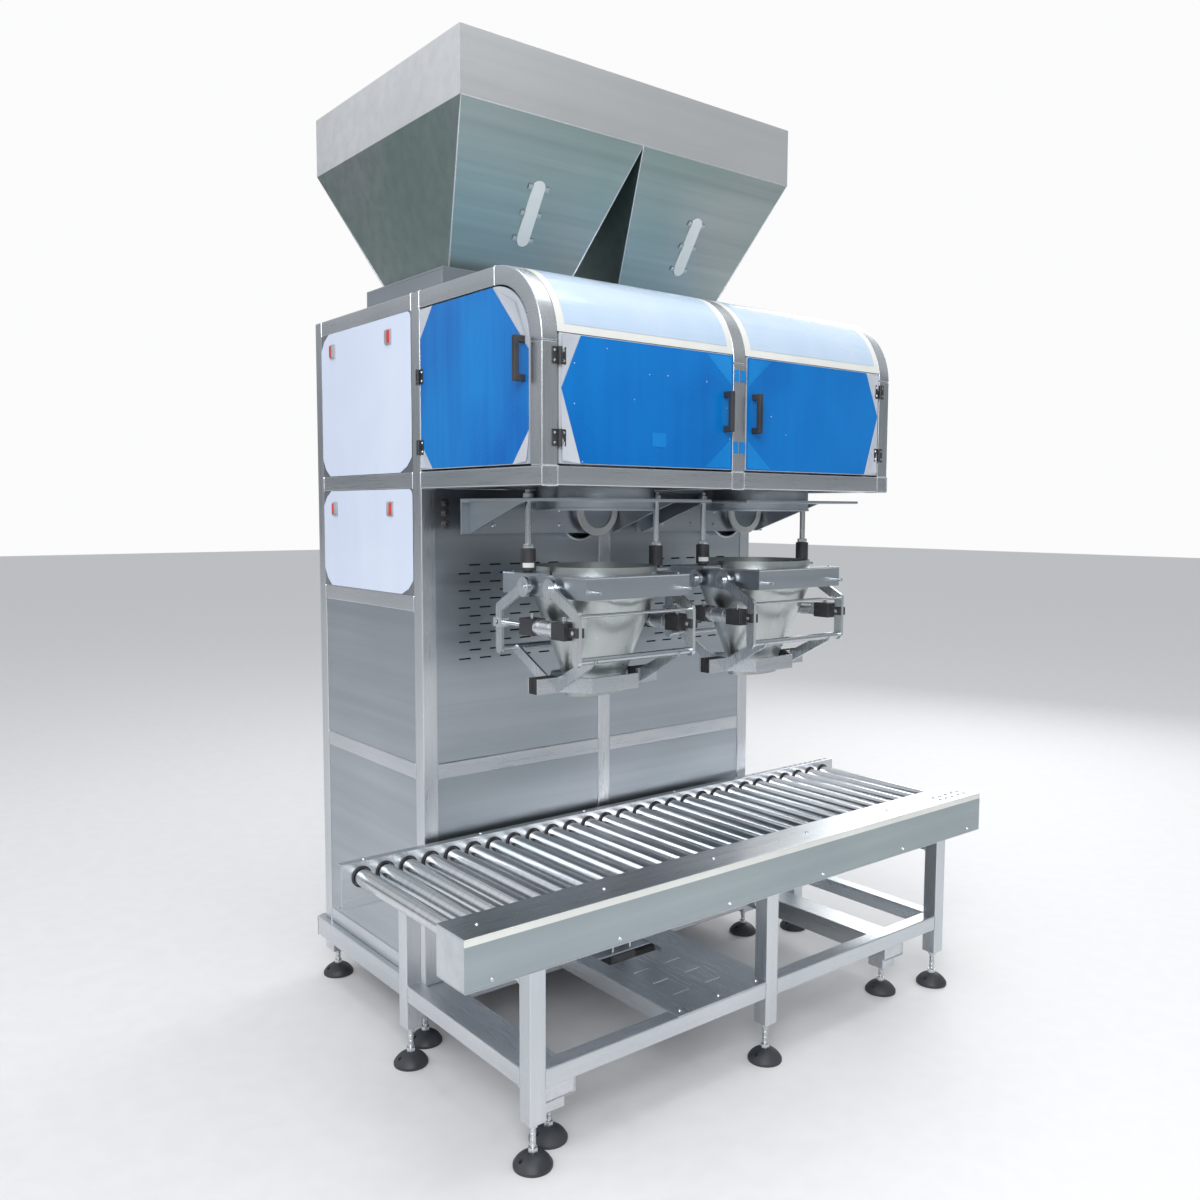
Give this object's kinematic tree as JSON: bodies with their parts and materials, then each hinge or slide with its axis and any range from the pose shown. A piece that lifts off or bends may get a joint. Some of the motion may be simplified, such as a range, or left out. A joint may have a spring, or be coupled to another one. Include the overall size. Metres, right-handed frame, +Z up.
{
  "type": "twin-head bag filling machine",
  "caption": "Twin-head weighing and open-mouth bag filling machine: feed hopper, doored enclosure, clamping funnels and a driven roller conveyor.",
  "frame": {"origin": "centre of the footprint, on the floor", "axes": "+Z up, +X along the conveyor to the operator's right, -Y towards the operator"},
  "size_m": [2.15, 1.4959, 3.007],
  "materials": {
    "base_paint": "welded stainless tube, brushed",
    "foot_black": "black moulded pad with zinc stud",
    "frame_steel": "brushed stainless tube",
    "panel_steel": "brushed stainless sheet",
    "film_white": "sheet under white protective film",
    "film_blue": "sheet under saturated blue protective film",
    "film_pale": "sheet under bluish-white protective film",
    "hardware_black": "black hinges and catches",
    "hopper_steel": "brushed stainless sheet",
    "window_glass": "clear sight window",
    "inner_steel": "brushed stainless sheet",
    "bracket_steel": "brushed stainless plate",
    "rod_zinc": "zinc rod with black couplings",
    "funnel_steel": "brushed stainless sheet",
    "jaw_steel": "stainless arms with black rubber pads",
    "cylinder_alu": "anodised barrels with black heads",
    "piston_chrome": "ground rod",
    "rail_steel": "brushed stainless sheet",
    "roller_zinc": "zinc-plated tube",
    "motor_black": "black enamel"
  },
  "bodies": {
    "machine_frame": {"base_frame": "base_paint", "leveling_feet": "foot_black", "column_frame": "frame_steel", "column_panels": "panel_steel", "louver_panels": "panel_steel", "latched_side_panels": "film_white", "enclosure_frame": "frame_steel", "top_covers": "film_pale", "door_hardware": "hardware_black", "feed_hopper": "hopper_steel", "sight_windows": "window_glass", "weigh_feeders": "inner_steel", "hanger_brackets": "bracket_steel", "suspension_rods": "rod_zinc", "clamp_funnels": "funnel_steel", "conveyor_rails": "rail_steel", "conveyor_stand": "frame_steel", "drive_gearmotor": "motor_black"},
    "front_door_left": {"front_door_left": "film_blue"},
    "side_door_left": {"side_door_left": "film_blue"},
    "weigh_flap_left": {"weigh_flap_left": "inner_steel"},
    "front_jaw_left": {"front_jaw_left": "jaw_steel"},
    "rear_jaw_left": {"rear_jaw_left": "jaw_steel"},
    "clamp_cylinders_left": {"clamp_cylinders_left": "cylinder_alu"},
    "clamp_rods_left": {"clamp_rods_left": "piston_chrome"},
    "front_door_right": {"front_door_right": "film_blue"},
    "side_door_right": {"side_door_right": "film_blue"},
    "weigh_flap_right": {"weigh_flap_right": "inner_steel"},
    "front_jaw_right": {"front_jaw_right": "jaw_steel"},
    "rear_jaw_right": {"rear_jaw_right": "jaw_steel"},
    "clamp_cylinders_right": {"clamp_cylinders_right": "cylinder_alu"},
    "clamp_rods_right": {"clamp_rods_right": "piston_chrome"},
    "roller_01": {"roller_01": "roller_zinc"},
    "roller_02": {"roller_02": "roller_zinc"},
    "roller_03": {"roller_03": "roller_zinc"},
    "roller_04": {"roller_04": "roller_zinc"},
    "roller_05": {"roller_05": "roller_zinc"},
    "roller_06": {"roller_06": "roller_zinc"},
    "roller_07": {"roller_07": "roller_zinc"},
    "roller_08": {"roller_08": "roller_zinc"},
    "roller_09": {"roller_09": "roller_zinc"},
    "roller_10": {"roller_10": "roller_zinc"},
    "roller_11": {"roller_11": "roller_zinc"},
    "roller_12": {"roller_12": "roller_zinc"},
    "roller_13": {"roller_13": "roller_zinc"},
    "roller_14": {"roller_14": "roller_zinc"},
    "roller_15": {"roller_15": "roller_zinc"},
    "roller_16": {"roller_16": "roller_zinc"},
    "roller_17": {"roller_17": "roller_zinc"},
    "roller_18": {"roller_18": "roller_zinc"},
    "roller_19": {"roller_19": "roller_zinc"},
    "roller_20": {"roller_20": "roller_zinc"},
    "roller_21": {"roller_21": "roller_zinc"},
    "roller_22": {"roller_22": "roller_zinc"},
    "roller_23": {"roller_23": "roller_zinc"},
    "roller_24": {"roller_24": "roller_zinc"},
    "roller_25": {"roller_25": "roller_zinc"},
    "roller_26": {"roller_26": "roller_zinc"},
    "roller_27": {"roller_27": "roller_zinc"},
    "roller_28": {"roller_28": "roller_zinc"}
  },
  "joints": [
    {"name": "front_door_left_hinge", "type": "hinge", "parent": "machine_frame", "child": "front_door_left", "pos_m": [-0.7285, -0.6463, 1.9575], "axis": [0, 0, -1], "range_deg": [0, 110]},
    {"name": "side_door_left_hinge", "type": "hinge", "parent": "machine_frame", "child": "side_door_left", "pos_m": [-0.7873, -0.0225, 1.9575], "axis": [0, 0, -1], "range_deg": [0, 110]},
    {"name": "weigh_flap_left_hinge", "type": "hinge", "parent": "machine_frame", "child": "weigh_flap_left", "pos_m": [-0.416, -0.286, 1.7917], "axis": [1, 0, 0], "range_deg": [0, 70]},
    {"name": "jaw_left_open", "type": "hinge", "parent": "machine_frame", "child": "rear_jaw_left", "pos_m": [-0.416, -0.329, 1.455], "axis": [1, 0, 0], "range_deg": [0, 12]},
    {"name": "front_jaw_left_pivot", "type": "hinge", "parent": "machine_frame", "child": "front_jaw_left", "pos_m": [-0.416, -0.455, 1.455], "axis": [1, 0, 0], "range_deg": [-12, 0]},
    {"name": "cylinder_left_pivot", "type": "hinge", "parent": "front_jaw_left", "child": "clamp_cylinders_left", "pos_m": [-0.416, -0.58, 1.345], "axis": [1, 0, 0], "range_deg": [0, 12]},
    {"name": "rod_left_stroke", "type": "slide", "parent": "clamp_cylinders_left", "child": "clamp_rods_left", "axis": [0, 1, 0], "range_m": [0, 0.0404]},
    {"name": "front_door_right_hinge", "type": "hinge", "parent": "machine_frame", "child": "front_door_right", "pos_m": [0.5665, -0.6463, 1.9575], "axis": [0, 0, 1], "range_deg": [0, 110]},
    {"name": "side_door_right_hinge", "type": "hinge", "parent": "machine_frame", "child": "side_door_right", "pos_m": [0.6253, -0.0225, 1.9575], "axis": [0, 0, 1], "range_deg": [0, 110]},
    {"name": "weigh_flap_right_hinge", "type": "hinge", "parent": "machine_frame", "child": "weigh_flap_right", "pos_m": [0.254, -0.286, 1.7917], "axis": [1, 0, 0], "range_deg": [0, 70]},
    {"name": "jaw_right_open", "type": "hinge", "parent": "machine_frame", "child": "rear_jaw_right", "pos_m": [0.254, -0.329, 1.455], "axis": [1, 0, 0], "range_deg": [0, 12]},
    {"name": "front_jaw_right_pivot", "type": "hinge", "parent": "machine_frame", "child": "front_jaw_right", "pos_m": [0.254, -0.455, 1.455], "axis": [1, 0, 0], "range_deg": [-12, 0]},
    {"name": "cylinder_right_pivot", "type": "hinge", "parent": "front_jaw_right", "child": "clamp_cylinders_right", "pos_m": [0.254, -0.58, 1.345], "axis": [1, 0, 0], "range_deg": [0, 12]},
    {"name": "rod_right_stroke", "type": "slide", "parent": "clamp_cylinders_right", "child": "clamp_rods_right", "axis": [0, 1, 0], "range_m": [0, 0.0404]},
    {"name": "roller_01_spin", "type": "hinge", "parent": "machine_frame", "child": "roller_01", "pos_m": [-1.0125, -0.338, 0.62], "axis": [0, 1, 0], "continuous": true},
    {"name": "roller_02_spin", "type": "hinge", "parent": "machine_frame", "child": "roller_02", "pos_m": [-0.9375, -0.338, 0.62], "axis": [0, 1, 0], "continuous": true},
    {"name": "roller_03_spin", "type": "hinge", "parent": "machine_frame", "child": "roller_03", "pos_m": [-0.8625, -0.338, 0.62], "axis": [0, 1, 0], "continuous": true},
    {"name": "roller_04_spin", "type": "hinge", "parent": "machine_frame", "child": "roller_04", "pos_m": [-0.7875, -0.338, 0.62], "axis": [0, 1, 0], "continuous": true},
    {"name": "roller_05_spin", "type": "hinge", "parent": "machine_frame", "child": "roller_05", "pos_m": [-0.7125, -0.338, 0.62], "axis": [0, 1, 0], "continuous": true},
    {"name": "roller_06_spin", "type": "hinge", "parent": "machine_frame", "child": "roller_06", "pos_m": [-0.6375, -0.338, 0.62], "axis": [0, 1, 0], "continuous": true},
    {"name": "roller_07_spin", "type": "hinge", "parent": "machine_frame", "child": "roller_07", "pos_m": [-0.5625, -0.338, 0.62], "axis": [0, 1, 0], "continuous": true},
    {"name": "roller_08_spin", "type": "hinge", "parent": "machine_frame", "child": "roller_08", "pos_m": [-0.4875, -0.338, 0.62], "axis": [0, 1, 0], "continuous": true},
    {"name": "roller_09_spin", "type": "hinge", "parent": "machine_frame", "child": "roller_09", "pos_m": [-0.4125, -0.338, 0.62], "axis": [0, 1, 0], "continuous": true},
    {"name": "roller_10_spin", "type": "hinge", "parent": "machine_frame", "child": "roller_10", "pos_m": [-0.3375, -0.338, 0.62], "axis": [0, 1, 0], "continuous": true},
    {"name": "roller_11_spin", "type": "hinge", "parent": "machine_frame", "child": "roller_11", "pos_m": [-0.2625, -0.338, 0.62], "axis": [0, 1, 0], "continuous": true},
    {"name": "roller_12_spin", "type": "hinge", "parent": "machine_frame", "child": "roller_12", "pos_m": [-0.1875, -0.338, 0.62], "axis": [0, 1, 0], "continuous": true},
    {"name": "roller_13_spin", "type": "hinge", "parent": "machine_frame", "child": "roller_13", "pos_m": [-0.1125, -0.338, 0.62], "axis": [0, 1, 0], "continuous": true},
    {"name": "roller_14_spin", "type": "hinge", "parent": "machine_frame", "child": "roller_14", "pos_m": [-0.0375, -0.338, 0.62], "axis": [0, 1, 0], "continuous": true},
    {"name": "roller_15_spin", "type": "hinge", "parent": "machine_frame", "child": "roller_15", "pos_m": [0.0375, -0.338, 0.62], "axis": [0, 1, 0], "continuous": true},
    {"name": "roller_16_spin", "type": "hinge", "parent": "machine_frame", "child": "roller_16", "pos_m": [0.1125, -0.338, 0.62], "axis": [0, 1, 0], "continuous": true},
    {"name": "roller_17_spin", "type": "hinge", "parent": "machine_frame", "child": "roller_17", "pos_m": [0.1875, -0.338, 0.62], "axis": [0, 1, 0], "continuous": true},
    {"name": "roller_18_spin", "type": "hinge", "parent": "machine_frame", "child": "roller_18", "pos_m": [0.2625, -0.338, 0.62], "axis": [0, 1, 0], "continuous": true},
    {"name": "roller_19_spin", "type": "hinge", "parent": "machine_frame", "child": "roller_19", "pos_m": [0.3375, -0.338, 0.62], "axis": [0, 1, 0], "continuous": true},
    {"name": "roller_20_spin", "type": "hinge", "parent": "machine_frame", "child": "roller_20", "pos_m": [0.4125, -0.338, 0.62], "axis": [0, 1, 0], "continuous": true},
    {"name": "roller_21_spin", "type": "hinge", "parent": "machine_frame", "child": "roller_21", "pos_m": [0.4875, -0.338, 0.62], "axis": [0, 1, 0], "continuous": true},
    {"name": "roller_22_spin", "type": "hinge", "parent": "machine_frame", "child": "roller_22", "pos_m": [0.5625, -0.338, 0.62], "axis": [0, 1, 0], "continuous": true},
    {"name": "roller_23_spin", "type": "hinge", "parent": "machine_frame", "child": "roller_23", "pos_m": [0.6375, -0.338, 0.62], "axis": [0, 1, 0], "continuous": true},
    {"name": "roller_24_spin", "type": "hinge", "parent": "machine_frame", "child": "roller_24", "pos_m": [0.7125, -0.338, 0.62], "axis": [0, 1, 0], "continuous": true},
    {"name": "roller_25_spin", "type": "hinge", "parent": "machine_frame", "child": "roller_25", "pos_m": [0.7875, -0.338, 0.62], "axis": [0, 1, 0], "continuous": true},
    {"name": "roller_26_spin", "type": "hinge", "parent": "machine_frame", "child": "roller_26", "pos_m": [0.8625, -0.338, 0.62], "axis": [0, 1, 0], "continuous": true},
    {"name": "roller_27_spin", "type": "hinge", "parent": "machine_frame", "child": "roller_27", "pos_m": [0.9375, -0.338, 0.62], "axis": [0, 1, 0], "continuous": true},
    {"name": "roller_28_spin", "type": "hinge", "parent": "machine_frame", "child": "roller_28", "pos_m": [1.0125, -0.338, 0.62], "axis": [0, 1, 0], "continuous": true}
  ],
  "couplings": [
    {"joint": "front_jaw_left_pivot", "follows": "jaw_left_open", "ratio": -1},
    {"joint": "cylinder_left_pivot", "follows": "jaw_left_open", "ratio": 1},
    {"joint": "rod_left_stroke", "follows": "jaw_left_open", "m_per_rad": 0.1923},
    {"joint": "front_jaw_right_pivot", "follows": "jaw_right_open", "ratio": -1},
    {"joint": "cylinder_right_pivot", "follows": "jaw_right_open", "ratio": 1},
    {"joint": "rod_right_stroke", "follows": "jaw_right_open", "m_per_rad": 0.1923},
    {"joint": "roller_02_spin", "follows": "roller_01_spin", "ratio": 1},
    {"joint": "roller_03_spin", "follows": "roller_01_spin", "ratio": 1},
    {"joint": "roller_04_spin", "follows": "roller_01_spin", "ratio": 1},
    {"joint": "roller_05_spin", "follows": "roller_01_spin", "ratio": 1},
    {"joint": "roller_06_spin", "follows": "roller_01_spin", "ratio": 1},
    {"joint": "roller_07_spin", "follows": "roller_01_spin", "ratio": 1},
    {"joint": "roller_08_spin", "follows": "roller_01_spin", "ratio": 1},
    {"joint": "roller_09_spin", "follows": "roller_01_spin", "ratio": 1},
    {"joint": "roller_10_spin", "follows": "roller_01_spin", "ratio": 1},
    {"joint": "roller_11_spin", "follows": "roller_01_spin", "ratio": 1},
    {"joint": "roller_12_spin", "follows": "roller_01_spin", "ratio": 1},
    {"joint": "roller_13_spin", "follows": "roller_01_spin", "ratio": 1},
    {"joint": "roller_14_spin", "follows": "roller_01_spin", "ratio": 1},
    {"joint": "roller_15_spin", "follows": "roller_01_spin", "ratio": 1},
    {"joint": "roller_16_spin", "follows": "roller_01_spin", "ratio": 1},
    {"joint": "roller_17_spin", "follows": "roller_01_spin", "ratio": 1},
    {"joint": "roller_18_spin", "follows": "roller_01_spin", "ratio": 1},
    {"joint": "roller_19_spin", "follows": "roller_01_spin", "ratio": 1},
    {"joint": "roller_20_spin", "follows": "roller_01_spin", "ratio": 1},
    {"joint": "roller_21_spin", "follows": "roller_01_spin", "ratio": 1},
    {"joint": "roller_22_spin", "follows": "roller_01_spin", "ratio": 1},
    {"joint": "roller_23_spin", "follows": "roller_01_spin", "ratio": 1},
    {"joint": "roller_24_spin", "follows": "roller_01_spin", "ratio": 1},
    {"joint": "roller_25_spin", "follows": "roller_01_spin", "ratio": 1},
    {"joint": "roller_26_spin", "follows": "roller_01_spin", "ratio": 1},
    {"joint": "roller_27_spin", "follows": "roller_01_spin", "ratio": 1},
    {"joint": "roller_28_spin", "follows": "roller_01_spin", "ratio": 1}
  ]
}
